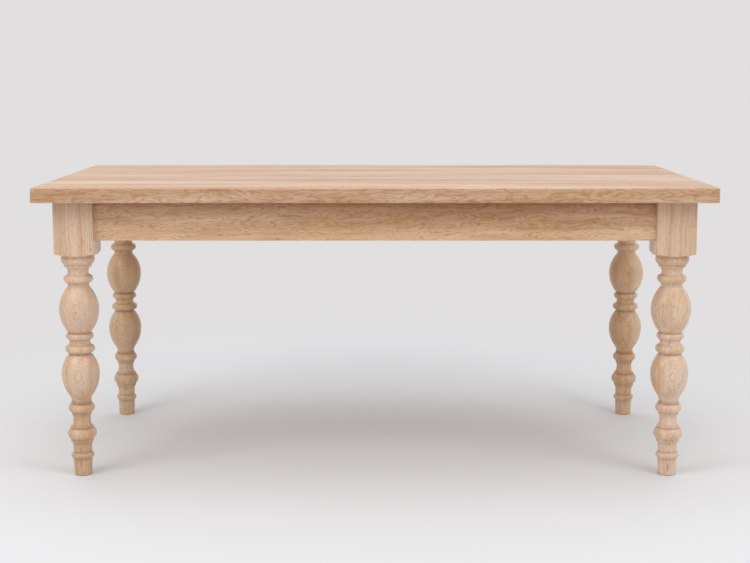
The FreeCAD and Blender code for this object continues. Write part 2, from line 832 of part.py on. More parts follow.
def make_button(name, side, along):
    """Wooden button: its tongue sits in an apron's groove and a screw draws it up to the top."""
    body = new_body(name)
    half = size.button_width / 2
    tongue_start = -size.button_tongue
    shoulder = size.button_shoulder_gap
    heel = shoulder + size.button_length
    profile = Outline(body, "Profile", "YZ_Plane")
    profile.start(tongue_start, ZERO).line(heel, ZERO).line(heel, button_thickness)
    profile.line(shoulder, button_thickness).line(shoulder, size.button_tongue_thickness)
    profile.line(tongue_start, size.button_tongue_thickness).close()
    pad(body, "Block", profile, size.button_width, symmetric=True)
    ease(body, "Chamfer", "HeelArris", size.button_arris_chamfer, {"y": [heel], "z": [ZERO]})
    bore = Drawing(body, "BorePlace", "XY_Plane", -size.cut_overrun)
    bore.circles([(ZERO, button_screw_line)], screw_bore)
    pocket(body, "Bore", bore, button_thickness + 2 * size.cut_overrun, True)
    head = Drawing(body, "HeadPlace", "XY_Plane", -size.cut_overrun)
    head.circles([(ZERO, button_screw_line)], counterbore)
    pocket(body, "Head", head, size.screw_head_height + size.cut_overrun, True)
    x, y = inside_apron(side, along, ZERO)
    place(body, x, y, button_bottom, SIDES[side])
    return body


def screw_shape(grip):
    """Pan-head wood screw along +Z, with its head's seat at the origin, for a given grip."""
    head = size.screw_head_diameter.number / 2
    height = size.screw_head_height.number
    shank = size.screw_diameter.number / 2
    tip = (grip + size.screw_bite).number
    crown = FreeCAD.Vector(0, 0, -height)
    rim = FreeCAD.Vector(head, 0, -height / 2)
    brow = FreeCAD.Vector(head * DOME_SHARES[0], 0, -height * DOME_SHARES[1])
    dome = Part.Arc(crown, brow, rim).toShape()
    side = Part.makePolygon([
        rim,
        FreeCAD.Vector(head, 0, 0),
        FreeCAD.Vector(shank, 0, 0),
        FreeCAD.Vector(shank, 0, tip - size.screw_point.number),
        FreeCAD.Vector(0, 0, tip),
        crown,
    ])
    face = Part.Face(Part.Wire([dome] + side.Edges))
    return face.revolve(FreeCAD.Vector(0, 0, 0), FreeCAD.Vector(0, 0, 1), FULL_TURN)


def make_screws(name, grip, places):
    """A set of like screws, each with its head's seat at a place and pointing along a direction."""
    pattern = screw_shape(grip)
    screws = []
    for position, direction in places:
        screw = pattern.copy()
        screw.Placement = FreeCAD.Placement(position, FreeCAD.Rotation(FreeCAD.Vector(0, 0, 1), direction))
        screws.append(screw)
    group = doc.addObject("Part::Feature", name)
    group.Label = name
    group.Shape = Part.makeCompound(screws)
    return group


def upright(places, level):
    """Screws that point up from a level at plan positions."""
    up = FreeCAD.Vector(0, 0, 1)
    return [(FreeCAD.Vector(x.number, y.number, level.number), up) for x, y in places]


def brace_screw_places():
    """Screws through the braces' ends, square to the aprons."""
    seat = (apron_inset + size.brace_screw_seat).number
    line = brace_screw_line.number
    places = []
    for quarters, along, across in CORNERS.values():
        x = along * frame_length.number / 2
        y = across * frame_width.number / 2
        corner = FreeCAD.Vector(x, y, brace_bottom.number)
        turn = FreeCAD.Rotation(FreeCAD.Vector(0, 0, 1), QUARTER_TURN * quarters)
        for share in BRACE_SCREW_SHARES:
            level = size.brace_height.number * share
            for spot, way in ((line, seat), (0, -1)), ((seat, line), (-1, 0)):
                position = corner + turn.multVec(FreeCAD.Vector(*spot, level))
                places.append((position, turn.multVec(FreeCAD.Vector(*way, 0))))
    return places


def check(pieces):
    """Stop if an object failed, a cut removed nothing or a piece is not a sound solid."""
    for thing in doc.Objects:
        if "Invalid" in thing.State or "Error" in thing.State:
            raise RuntimeError(f"{thing.Label} failed: {thing.State}")
        if thing.TypeId in CUTS and thing.Shape.Volume >= thing.BaseFeature.Shape.Volume:
            raise RuntimeError(f"{thing.Label} cuts nothing")
    for piece in pieces:
        if piece.Shape.isNull() or not piece.Shape.isValid() or not piece.Shape.Solids:
            raise RuntimeError(f"{piece.Label} is not a sound solid")


def main():
    buttons = button_places()
    rails = rail_places()
    button_screws = [inside_apron(side, along, button_screw_line) for name, side, along in buttons]
    rail_screws = [(x, board_middle(number)) for x in rails for number in range(BOARD_COUNT)]
    pieces = [make_board(number, button_screws + rail_screws) for number in range(BOARD_COUNT)]
    pieces += [make_tongue(number) for number in range(BOARD_COUNT - 1)]
    pieces += [make_leg(corner) for corner in CORNERS]
    pieces += [make_apron(side) for side in SIDES]
    pieces += [make_brace(corner) for corner in CORNERS]
    pieces += [make_rail(side, x) for side, x in zip(("left", "right"), rails)]
    pieces += [make_button(name, side, along) for name, side, along in buttons]
    button_grip = button_thickness + size.button_top_gap - size.screw_head_height
    button_seat = button_bottom + size.screw_head_height
    pieces.append(make_screws("button_screws", button_grip, upright(button_screws, button_seat)))
    rail_seat = leg_height - size.rail_height + size.rail_counterbore_depth
    rail_grip = size.rail_height - size.rail_counterbore_depth
    pieces.append(make_screws("rail_screws", rail_grip, upright(rail_screws, rail_seat)))
    pieces.append(make_screws("brace_screws", size.brace_screw_seat, brace_screw_places()))
    doc.recompute()
    check(pieces)
    os.makedirs("parts", exist_ok=True)
    for piece in pieces:
        piece.Shape.exportStep(f"parts/{piece.Label}.step")


main()
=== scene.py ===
import math
from collections import namedtuple
from operator import mul

import bmesh
import bpy
from bpy.props import FloatProperty, FloatVectorProperty, IntProperty, PointerProperty
from mathutils import Color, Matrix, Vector, noise


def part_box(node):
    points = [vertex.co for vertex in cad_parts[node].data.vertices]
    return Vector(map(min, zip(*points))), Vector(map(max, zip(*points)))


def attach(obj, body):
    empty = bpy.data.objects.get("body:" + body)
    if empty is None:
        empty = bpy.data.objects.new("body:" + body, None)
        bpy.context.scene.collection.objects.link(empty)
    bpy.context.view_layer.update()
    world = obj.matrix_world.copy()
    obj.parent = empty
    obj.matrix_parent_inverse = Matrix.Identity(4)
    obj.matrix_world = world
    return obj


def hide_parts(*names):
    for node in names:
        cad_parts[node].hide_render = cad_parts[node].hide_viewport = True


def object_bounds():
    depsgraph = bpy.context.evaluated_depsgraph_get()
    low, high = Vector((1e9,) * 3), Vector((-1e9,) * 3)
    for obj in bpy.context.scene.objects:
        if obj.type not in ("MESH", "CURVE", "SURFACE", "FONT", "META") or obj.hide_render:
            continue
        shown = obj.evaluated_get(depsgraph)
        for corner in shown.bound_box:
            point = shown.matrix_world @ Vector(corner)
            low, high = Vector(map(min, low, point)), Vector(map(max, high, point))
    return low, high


bl_info = {
    "name": "Farmhouse table",
    "version": (1, 0, 0),
    "blender": (4, 5, 0),
    "location": "View3D > Sidebar > Table",
    "description": "Dresses a joined oak table with turned legs in its finished wood",
    "category": "Object",
}

# The joined table as it was built: every piece below takes its place and size from it.
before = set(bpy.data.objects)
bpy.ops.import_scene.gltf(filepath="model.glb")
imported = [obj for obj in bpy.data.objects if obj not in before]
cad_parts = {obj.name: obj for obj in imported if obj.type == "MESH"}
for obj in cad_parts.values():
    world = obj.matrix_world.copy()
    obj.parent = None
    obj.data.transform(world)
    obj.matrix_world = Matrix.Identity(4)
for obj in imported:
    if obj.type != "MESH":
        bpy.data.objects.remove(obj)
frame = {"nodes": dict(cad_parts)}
cad_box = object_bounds()

TABLE_LOW, TABLE_HIGH = cad_box
BODY = "root"
UP = Vector((0, 0, 1))
WHITE = (1, 1, 1)
QUARTER_TURN = math.pi / 2
MERGE_DISTANCE = 1e-6
FLAT_ANGLE = math.radians(0.3)
SHARP_ANGLE = math.radians(32)

# How the figure is turned to lay its grain, its own X, along one of the table's axes.
GRAIN_ALONG_X = (0, 0, 0)
GRAIN_ALONG_Y = (0, 0, QUARTER_TURN)
GRAIN_ALONG_Z = (0, -QUARTER_TURN, 0)

# How a kind of piece shows its figure: the width of its rings against the usual one, how far in metres the
# heart strays slowly and swirls quickly, and how deep its rings and streaks are.
Figure = namedtuple("Figure", "rings wander swirl ring_depth streaks")
BOARD_FIGURE = Figure(rings=0.85, wander=0.02, swirl=0.017, ring_depth=0.52, streaks=0.75)
LEG_FIGURE = Figure(rings=1.1, wander=0.006, swirl=0.003, ring_depth=0.34, streaks=0.26)
APRON_FIGURE = Figure(rings=0.85, wander=0.012, swirl=0.022, ring_depth=0.52, streaks=0.65)
TIMBER_FIGURE = Figure(rings=1.0, wander=0.012, swirl=0.004, ring_depth=0.5, streaks=0.12)

# Where in the tree the first piece of a kind is cut from, and how far on the next one is.
Series = namedtuple("Series", "first step")
BOARD_SEEDS = Series(1.3, 2.1)
LEG_SEEDS = Series(11.7, 3.3)
APRON_SEEDS = Series(27.1, 1.9)
TIMBER_SEEDS = Series(41.0, 1.7)

# The boards from front to back: the tree's heart as seen from the board's middle, the depth of the board's
# colour and how far its level faces are paled, from daylight bleaching and painted sheen.
Board = namedtuple("Board", "name heart depth bleach")
BOARD_TONE = (0.78, 0.695, 0.57)
BOARDS = (
    Board("top_board_1", heart=(0, 0.24, 0.006), depth=1.0, bleach=1.0),
    Board("top_board_2", heart=(0, 0.2, -0.09), depth=0.94, bleach=1.0),
    Board("top_board_3", heart=(0, -0.22, -0.07), depth=1.03, bleach=0.94),
    Board("top_board_4", heart=(0, -0.26, -0.004), depth=0.97, bleach=0.86),
)

# Wear of the top's arris: waves per metre, the slice of noise for each, and what each adds to the usual wear.
LONG_WAVES, LONG_SLICE, LONG_SHARE = 7, 0.3, 0.75
SHORT_WAVES, SHORT_SLICE, SHORT_SHARE = 31, 4.7, 0.35
USUAL_WEAR = 0.45

# The corners of the frame, as the signs of their x and y, and the tone of the leg that stands in each, the
# back legs painted darker and warmer as shade under the table.
CORNERS = {"front_left": (-1, -1), "front_right": (1, -1), "back_right": (1, 1), "back_left": (-1, 1)}
LEG_TONES_AND_SHADE = {
    "front_left": (0.93, 0.89, 0.83),
    "front_right": (1.0, 1.0, 0.98),
    "back_right": (0.96, 0.92, 0.81),
    "back_left": (0.84, 0.79, 0.66),
}

# The legs: the one whose post is turned for all four, how far the heart lies to one side, the head's share of
# the painted shade under the top, the least bend in an outline that gets oil and painted shade, and how far
# they spread.
PATTERN_LEG = "leg_front_left"
PITH_OFFSET = 0.004
HEAD_OVERHANG_SHADE = 0.35
HOLLOW_BEND = 0.2
OIL_AND_SHADE_REACH = 0.0022

# The aprons, whose grain runs a little off their length, and the height of the tree's heart behind each.
Apron = namedtuple("Apron", "name turn heart_height")
APRON_TONE = (1.05, 1.0, 0.87)
APRON_HEART_DISTANCE = 0.12
APRON_SLOPE = 0.03
APRONS = (
    Apron("apron_front", APRON_SLOPE, 0.03),
    Apron("apron_right", QUARTER_TURN + APRON_SLOPE, -0.02),
    Apron("apron_back", -APRON_SLOPE, -0.03),
    Apron("apron_left", QUARTER_TURN - APRON_SLOPE, 0.02),
)

FRAME_TIMBER = ("board_tongue", "corner_brace", "cross_rail", "top_button")
TIMBER_HEART = (0, 0.06, 0.05)

# Screws: the share of a head's width beyond which only the head reaches, how squarely a face must look out of
# the head to be pressed in, and the clouds in the plating with the dullness that they bring.
SCREWS = ("button_screws", "rail_screws", "brace_screws")
HEAD_RIM = 0.45
HEAD_FACING = 0.5
PLATING_GRAIN = 420.0
PLATING_DETAIL = 3.0
PLATING_STEP = (0.3, 0.7)
PLATING_ROUGHNESS = (0.28, 0.42)

# The oak: noises by their scale per metre along and across the grain, and marks that come up over a range
# of one.
Grain = namedtuple("Grain", "along across detail rough", defaults=(2.0, 0.5))
Mark = namedtuple("Mark", "grain low high")
SEED_STRIDE = (3.1, 5.3, 7.7)
WANDER = Grain(1.6, 2.2)
SWIRL = Grain(8.0, 36.0)
NOISE_MIDDLE = (0.5, 0.5, 0.5)
RING_STRETCH = (0.012, 1.0, 1.0)
LEAN_YEARS, LEAN_DETAIL, LEAN_SHARE = 0.37, 1.0, 0.7
RING_RISE = (0.0, 0.16)
RING_FALL = (0.18, 0.62)
FIBRES = Grain(22.0, 900.0, detail=3.0, rough=0.6)
PORES = Mark(Grain(90.0, 1150.0, detail=1.0), 0.56, 0.70)
FLECKS = Mark(Grain(70.0, 460.0, detail=0.0), 0.68, 0.78)
STREAKS = Mark(Grain(2.4, 46.0, detail=5.0, rough=0.66), 0.41, 0.61)
STRIPES = Mark(Grain(1.2, 24.0, detail=4.0, rough=0.6), 0.42, 0.74)
CLOUDS = Mark(Grain(1.0, 9.0), 0.38, 0.62)

# What each mark does to the wood's colour, dullness and height.
PORES_BETWEEN_RINGS, PORES_IN_RINGS = 0.25, 0.75
MELLOW_STREAKS, MELLOW_CLOUDS = 0.5, 0.5
BLEACH_AND_SHEEN_PALE, BLEACH_AND_SHEEN_MELLOW = 0.75, -0.6
PORE_DEPTH, FLECK_DEPTH = 0.5, 0.5
VEIL_LEVEL, VEIL_FIBRES = 0.89, 0.22
DULL_LEVEL, DULL_PORES, DULL_FIBRES = -0.07, 0.12, 0.14
HEIGHT_FIBRES, HEIGHT_PORES, HEIGHT_RINGS = 0.35, -0.8, -0.35
BUMP_STRENGTH, BUMP_HEIGHT = 0.35, 0.0004

# The studio.
Softbox = namedtuple("Softbox", "place target size power")
Sun = namedtuple("Sun", "towards strength spread")
SOFTBOXES = {
    "left softbox": Softbox((-2.2, -2.0, 2.5), (-0.3, 0, 0.5), size=1.5, power=25),
    "right softbox": Softbox((2.2, -2.0, 2.5), (0.3, 0, 0.5), size=1.5, power=21),
}
SUNS = {
    "ceiling": Sun((0, -0.12, 1), strength=0.8, spread=math.radians(60)),
    "front": Sun((-0.15, -0.95, 0.3), strength=0.08, spread=math.radians(50)),
    "back wall": Sun((0, 0.7, 0.7), strength=0.35, spread=math.radians(70)),
}
FLOOR_SEGMENTS = 96
FADE_START = 0.45


# Settings

def colour(red, green, blue):
    """A screen colour, 0 to 255, as the linear colour that renders so."""
    return tuple(Color((red / 255, green / 255, blue / 255)).from_srgb_to_scene_linear())


def tone(label, about, default):
    """A colour that a user can change."""
    return FloatVectorProperty(name=label, description=about, default=default, subtype="COLOR", size=3, min=0,
                               max=1)


def length(label, about, default):
    """A length in metres that a user can change."""
    return FloatProperty(name=label, description=about, default=default, unit="LENGTH", precision=5)


def share(label, about, default):
    """A share between 0 and 1 that a user can change."""
    return FloatProperty(name=label, description=about, default=default, subtype="FACTOR", min=0, max=1)


class OakSettings(bpy.types.PropertyGroup):
    """Colours of the oak and the scale of its figure."""

    pale: tone("Pale wood", "Colour of the palest wood", colour(234, 208, 187))
    tan: tone("Tan wood", "Colour of the deeper wood", colour(212, 175, 141))
    line: tone("Ring line", "Tint of the stripes and of each ring's porous line", colour(222, 196, 170))
    pore: tone("Pore", "Tint of the pores and flecks", colour(196, 148, 104))
    # Tint of oil in corners and glue lines, and of the painted shade in turned corners and under the top.
    oil_and_shade: tone("Oil And Shade", "Tint of oiled corners, glue lines and sheltered wood", colour(166, 123, 66))
    # Paler colour of the boards' level faces: daylight bleaching with painted sheen.
    bleached_and_sheen: tone("Bleached And Sheen", "Colour towards which daylight bleaches the boards", colour(230, 204, 183))
    ring_spacing: length("Ring spacing", "Usual width of a yearly ring", 0.0024)
    roughness: share("Roughness", "Dullness of the oiled wood", 0.5)


class TopSettings(bpy.types.PropertyGroup):
    """Wear on the plank top."""

    wear: length("Wear", "Most that the rounded upper arris is worn back", 0.0016)
    wear_reach: length("Wear reach", "Distance from the arris over which the wear fades", 0.012)
    score_step: length("Score step", "Spacing of the cuts that let an arris waver", 0.014)
    seam: length("Seam", "Width over which a glue line between two boards shows", 0.0012)
    seam_depth: share("Seam depth", "How dark a glue line is", 0.8)


class LegSettings(bpy.types.PropertyGroup):
    """Finish of the turned legs."""

    head_length: length("Head length", "Length of the square head above the turned post", 0.143)
    steps: IntProperty(name="Steps", description="Facets round the turned post", default=112, min=24)
    softening: length("Softening", "Width over which sharp turned corners are sanded off", 0.0005)
    shoulder: length("Shoulder", "Height of the ring that joins the turned post to its head", 0.0004)
    pith_distance: length("Pith distance", "Distance of the tree's heart in front of a leg's axis", 0.12)
    # Oil with painted shade in the turned corners: how dark it is.
    oil_and_shade_depth: share("Oil And Shade depth", "How dark the oil in a turned corner is", 0.55)
    burnish: share("Burnish", "How much less dull the lathe leaves the wood", 0.2)


class FrameSettings(bpy.types.PropertyGroup):
    """Painted shade on the frame under the top, and its screws."""

    # Painted shade: the frame's wood is coloured darker right under the top, where the top's shadow falls.
    painted_overhang_shade: share("Painted shade", "How much deeper the wood stays right under the top", 0.95)
    painted_overhang_shade_reach: length("Painted shade reach", "Depth below the top over which the deeper colour fades", 0.034)
    painted_overhang_shade_step: length("Painted shade step", "Spacing of the cuts that carry the fade", 0.008)
    recess_length: length("Recess length", "Length of the arms of a screw's cross recess", 0.0044)
    recess_width: length("Recess width", "Width of the arms of a screw's cross recess", 0.0011)
    recess_depth: length("Recess depth", "Depth of a screw's cross recess", 0.0016)
    dark_plating: tone("Dark plating", "Colour of the darker clouds in the plating", colour(196, 192, 182))
    pale_plating: tone("Pale plating", "Colour of the paler clouds in the plating", colour(222, 220, 214))


class StageSettings(bpy.types.PropertyGroup):
    """Floor, background, light and camera."""

    floor_radius: length("Floor radius", "Radius of the floor", 14.0)
    floor_fade: length("Floor fade", "Radius at which the floor melts into the background", 2.3)
    floor_tone: tone("Floor", "Colour of the floor", colour(226, 226, 228))
    background: tone("Background", "Colour behind the table", colour(225, 223, 223))
    ambient: FloatProperty(name="Ambient", description="Strength of the light from all round", default=0.6,
                           min=0)
    ambient_tint: tone("Ambient tint", "Colour of the light from all round", (0.955, 0.985, 1.0))
    ceiling_tint: tone("Ceiling tint", "Colour of the light from above", (1.0, 0.98, 0.955))
    camera_distance: length("Camera distance", "Camera's distance in front of the table's middle", 3.94)
    camera_height: length("Camera height", "Camera's height above the floor", 1.04)
    camera_pitch: FloatProperty(name="Camera pitch", description="Tilt of the camera below the level",
                                default=0.1303, unit="ROTATION")
    focal_length: FloatProperty(name="Focal length", description="Lens of the camera in millimetres",
                                default=68.83, unit="CAMERA")
    lens_shift: FloatProperty(name="Lens shift", description="Upward shift of the lens in picture widths",
                              default=-0.0331)


class TableSettings(bpy.types.PropertyGroup):
    """All that a user would change."""

    oak: PointerProperty(type=OakSettings)
    top: PointerProperty(type=TopSettings)
    legs: PointerProperty(type=LegSettings)
    frame: PointerProperty(type=FrameSettings)
    stage: PointerProperty(type=StageSettings)


# Shader nodes

def blank_tree(owner):
    """The emptied node tree of a material or a world."""
    owner.use_nodes = True
    owner.node_tree.nodes.clear()
    return owner.node_tree


def add(tree, kind, inputs=None, **settings):
    """Add a shader node with its settings, and set or link its inputs by name or number."""
    made = tree.nodes.new(f"ShaderNode{kind}")
    for name, value in settings.items():
        setattr(made, name, value)
    for key, value in (inputs or {}).items():
        if isinstance(value, bpy.types.NodeSocket):
            tree.links.new(value, made.inputs[key])
        else:
            made.inputs[key].default_value = value
    return made


def show(tree, shader, output="OutputMaterial"):
    """Let a shader be the surface."""
    tree.links.new(shader.outputs[0], add(tree, output).inputs["Surface"])


def opaque(tint):
    """A tint as a full colour."""
    return (*tint, 1)


def reckon(tree, operation, *values, clamp=False):
    """A math node's result."""
    return add(tree, "Math", dict(enumerate(values)), operation=operation, use_clamp=clamp).outputs[0]


def times(tree, first, second):
    """The product of two values."""
    return reckon(tree, "MULTIPLY", first, second)


def weigh(tree, level, *terms):
    """A level plus the value of each term times its weight."""
    for value, weight in terms:
        level = reckon(tree, "MULTIPLY_ADD", value, weight, level)
    return level


def vector(tree, operation, *values):
    """A vector math node's result."""
    keys = (0, "Scale") if operation == "SCALE" else range(len(values))
    made = add(tree, "VectorMath", dict(zip(keys, values)), operation=operation)
    return made.outputs["Value" if operation == "LENGTH" else "Vector"]


def smooth_step(tree, value, low, high, to_low=0.0, to_high=1.0):
    """Ease a value from one range into another."""
    inputs = {"Value": value, "From Min": low, "From Max": high, "To Min": to_low, "To Max": to_high}
    return add(tree, "MapRange", inputs, interpolation_type="SMOOTHSTEP").outputs["Result"]


def blend(tree, factor, first, second, mode="MIX"):
    """Mix two colours."""
    made = add(tree, "Mix", {0: factor, 6: first, 7: second}, data_type="RGBA", blend_type=mode)
    return made.outputs[2]


def stain(tree, factor, wood, tint):
    """Lay a clear tint over a colour, as strongly as the factor says."""
    return blend(tree, factor, wood, tint, "MULTIPLY")


def speckle(tree, place, scale, detail, rough=0.5):
    """Soft noise round 0.5, as one value or as a colour of three."""
    inputs = {"Vector": place, "Scale": scale, "Detail": detail, "Roughness": rough}
    return add(tree, "TexNoise", inputs).outputs


def grain_noise(tree, place, grain):
    """Soft noise that is drawn out along the grain."""
    drawn = vector(tree, "MULTIPLY", place, (grain.along, grain.across, grain.across))
    return speckle(tree, drawn, 1.0, grain.detail, grain.rough)


def mark(tree, place, kind):
    """A kind of mark in the wood, from 0 where there is none to 1 where it is full."""
    return smooth_step(tree, grain_noise(tree, place, kind.grain)[0], kind.low, kind.high)


def stray(tree, place, grain, reach):
    """A shift that changes from place to place."""
    shift = vector(tree, "SUBTRACT", grain_noise(tree, place, grain)["Color"], NOISE_MIDDLE)
    return vector(tree, "SCALE", shift, reach)


def new_group(name, inputs, outputs):
    """Start a shader node group with named sockets."""
    group = bpy.data.node_groups.new(name, "ShaderNodeTree")
    for way, sockets in (("INPUT", inputs), ("OUTPUT", outputs)):
        for label, kind in sockets.items():
            group.interface.new_socket(name=label, in_out=way, socket_type=f"NodeSocket{kind}")
    return group, group.nodes.new("NodeGroupInput").outputs, group.nodes.new("NodeGroupOutput").inputs


def oak_group():
    """The wood itself, its grain along X: yearly rings round a heart, pores, flecks, streaks and stripes."""
    found = bpy.data.node_groups.get("Oak")
    if found:
        return found
    group, given, out = new_group(
        "Oak",
        {"Vector": "Vector", "Seed": "Float", "Heart": "Vector", "Ring Spacing": "Float", "Wander": "Float",
         "Swirl": "Float", "Ring Depth": "Float", "Streaks": "Float", "Pale": "Color", "Tan": "Color",
         "Line": "Color", "Pore": "Color", "Oil And Shade": "Color", "Bleached And Sheen": "Color", "Oil And Shade Mask": "Float",
         "Bleach And Sheen Mask": "Float"},
        {"Color": "Color", "Roughness": "Float", "Height": "Float"},
    )
    seed = vector(group, "SCALE", SEED_STRIDE, given["Seed"])
    place = vector(group, "ADD", given["Vector"], seed)

    # The heart wanders slowly along the tree and swirls near branches.
    slow = stray(group, place, WANDER, given["Wander"])
    quick = stray(group, place, SWIRL, given["Swirl"])
    bent = vector(group, "ADD", vector(group, "ADD", given["Vector"], slow), quick)
    across = vector(group, "MULTIPLY", vector(group, "SUBTRACT", bent, given["Heart"]), RING_STRETCH)
    age = reckon(group, "DIVIDE", vector(group, "LENGTH", across), given["Ring Spacing"])

    # Good and lean years, then the porous line that starts each ring.
    years = {"W": age, "Scale": LEAN_YEARS, "Detail": LEAN_DETAIL}
    uneven = add(group, "TexNoise", years, noise_dimensions="1D").outputs[0]
    season = reckon(group, "FRACT", weigh(group, age, (uneven, LEAN_SHARE)))
    rise = smooth_step(group, season, *RING_RISE)
    fall = smooth_step(group, season, *RING_FALL, 1.0, 0.0)
    ring = times(group, rise, fall)

    # Fine fibres, open pores that crowd in the rings, scattered flecks, bands along the bent grain and clouds.
    fibres = grain_noise(group, place, FIBRES)[0]
    crowd = weigh(group, PORES_BETWEEN_RINGS, (ring, PORES_IN_RINGS))
    pores = times(group, mark(group, place, PORES), crowd)
    flecks = mark(group, place, FLECKS)
    along = vector(group, "ADD", bent, seed)
    streaks = mark(group, along, STREAKS)
    stripes = mark(group, along, STRIPES)
    clouds = mark(group, place, CLOUDS)

    # The colour: pale or mellow wood, paler on level faces from daylight bleaching and painted sheen, then
    # each mark in turn, and the oil and painted shade in corners and under the top.
    mellow = weigh(group, 0.0, (streaks, MELLOW_STREAKS), (clouds, MELLOW_CLOUDS))
    wood = blend(group, mellow, given["Pale"], given["Tan"])
    # Level faces paled: daylight bleaching with painted sheen.
    bleach_and_sheen_share = times(group, given["Bleach And Sheen Mask"], weigh(group, BLEACH_AND_SHEEN_PALE, (mellow, BLEACH_AND_SHEEN_MELLOW)))
    wood = blend(group, bleach_and_sheen_share, wood, given["Bleached And Sheen"])
    wood = stain(group, times(group, stripes, given["Streaks"]), wood, given["Line"])
    wood = stain(group, times(group, ring, given["Ring Depth"]), wood, given["Line"])
    dark = stain(group, 1.0, wood, given["Pore"])
    wood = blend(group, times(group, pores, PORE_DEPTH), wood, dark)
    wood = blend(group, times(group, flecks, FLECK_DEPTH), wood, dark)
    wood = stain(group, 1.0, wood, weigh(group, VEIL_LEVEL, (fibres, VEIL_FIBRES)))
    # Oil in glue lines and turned corners, with painted shade in those corners and under the top.
    wood = stain(group, given["Oil And Shade Mask"], wood, given["Oil And Shade"])
    group.links.new(wood, out["Color"])
    dull = weigh(group, DULL_LEVEL, (pores, DULL_PORES), (fibres, DULL_FIBRES))
    group.links.new(dull, out["Roughness"])
    height = weigh(group, 0.0, (fibres, HEIGHT_FIBRES), (pores, HEIGHT_PORES), (ring, HEIGHT_RINGS))
    group.links.new(height, out["Height"])
    return group


def oak(name, centre, turn, heart, seed, figure, deepen=WHITE, burnish=0.0):
    """Oiled oak for one piece, cut where its heart lies across the grain from the piece's middle."""
    settings = bpy.context.scene.farmhouse_table.oak
    made = bpy.data.materials.new(name)
    tree = blank_tree(made)
    centred = {"Vector": add(tree, "TexCoord").outputs["Object"], "Location": centre, "Rotation": turn}
    inputs = {
        "Vector": add(tree, "Mapping", centred, vector_type="TEXTURE").outputs[0],
        "Seed": seed,
        "Heart": heart,
        "Ring Spacing": settings.ring_spacing * figure.rings,
        "Wander": figure.wander,
        "Swirl": figure.swirl,
        "Ring Depth": figure.ring_depth,
        "Streaks": figure.streaks,
        "Pale": opaque(map(mul, settings.pale, deepen)),
        "Tan": opaque(map(mul, settings.tan, deepen)),
        "Line": opaque(settings.line),
        "Pore": opaque(settings.pore),
        "Oil And Shade": opaque(settings.oil_and_shade),
        "Bleached And Sheen": opaque(settings.bleached_and_sheen),
        "Oil And Shade Mask": add(tree, "Attribute", attribute_name="oil_and_shade").outputs["Fac"],
        "Bleach And Sheen Mask": add(tree, "Attribute", attribute_name="bleach").outputs["Fac"],
    }
    wood = add(tree, "Group", inputs, node_tree=oak_group()).outputs
    dull = reckon(tree, "ADD", wood["Roughness"], settings.roughness - burnish, clamp=True)
    relief = {"Height": wood["Height"], "Strength": BUMP_STRENGTH, "Distance": BUMP_HEIGHT}
    bump = add(tree, "Bump", relief).outputs[0]
    show(tree, add(tree, "BsdfPrincipled", {"Base Color": wood["Color"], "Roughness": dull, "Normal": bump}))
    return made


def seed_of(series, number):
    """Where in the tree a piece of a series is cut from."""
    return series.first + series.step * number


# Meshes

def new_object(name, data):
    """An object at the origin of the scene."""
    made = bpy.data.objects.new(name, data)
    bpy.context.scene.collection.objects.link(made)
    return made


def cut(bm, place, way, clear_back=False, clear_front=False):
    """Saw a mesh along a plane and drop what lies behind or in front of it."""
    everything = bm.verts[:] + bm.edges[:] + bm.faces[:]
    bmesh.ops.bisect_plane(bm, geom=everything, dist=MERGE_DISTANCE, plane_co=place, plane_no=way,
                           clear_inner=clear_back, clear_outer=clear_front)


def copy_node(name):
    """A copy of a piece as it was built, with its loose facets joined up."""
    bm = bmesh.new()
    bm.from_mesh(frame["nodes"][name].data)
    bmesh.ops.remove_doubles(bm, verts=bm.verts[:], dist=MERGE_DISTANCE)
    return bm


def make_whole(bm):
    """Join the facets of each flat face."""
    bmesh.ops.dissolve_limit(bm, angle_limit=FLAT_ANGLE, verts=bm.verts[:], edges=bm.edges[:])


def shade(bm):
    """Smooth the rounds and keep the corners."""
    for face in bm.faces:
        face.smooth = True
    for edge in bm.edges:
        edge.smooth = len(edge.link_faces) == 2 and edge.calc_face_angle(0) < SHARP_ANGLE


def finish_piece(name, bm, material, slot, *replaced):
    """Turn a mesh into a piece that stands for what it replaces."""
    shade(bm)
    mesh = bpy.data.meshes.new(name)
    bm.to_mesh(mesh)
    bm.free()
    mesh.materials.append(material)
    piece = new_object(name, mesh)
    piece.modifiers.new("Even shading", "WEIGHTED_NORMAL").keep_sharp = True
    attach(piece, BODY)
    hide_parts(*replaced)


def stations(low, high, step):
    """Evenly spaced places between two limits."""
    count = max(1, round((high - low) / step))
    return [low + (high - low) * number / count for number in range(1, count)]


def score(bm, low, high, step):
    """Add cuts across a board and along it, so that its arrises can waver."""
    for axis in (0, 1):
        way = Vector((axis == 0, axis == 1, 0))
        for place in stations(low[axis], high[axis], step):
            cut(bm, way * place, way)


def arris_distance(point):
    """Distance of a point from the nearest upper outer arris of the top."""
    sides = (point.x - TABLE_LOW.x, TABLE_HIGH.x - point.x, point.y - TABLE_LOW.y, TABLE_HIGH.y - point.y)
    return math.hypot(min(sides), TABLE_HIGH.z - point.z)


def waver(point):
    """Uneven wear between 0 and 1: long soft hollows with shorter rubs on them."""
    long_wave = noise.noise(Vector((point.x * LONG_WAVES, point.y * LONG_WAVES, LONG_SLICE)))
    short_wave = noise.noise(Vector((point.x * SHORT_WAVES, point.y * SHORT_WAVES, SHORT_SLICE)))
    return min(max(USUAL_WEAR + LONG_SHARE * long_wave + SHORT_SHARE * short_wave, 0), 1)


def wear_arris(bm, settings):
    """Wear a board back along the upper outer arris of the top."""
    bm.normal_update()
    for vert in bm.verts:
        near = 1 - arris_distance(vert.co) / settings.wear_reach
        if near > 0:
            vert.co -= vert.normal * (settings.wear * near * waver(vert.co))


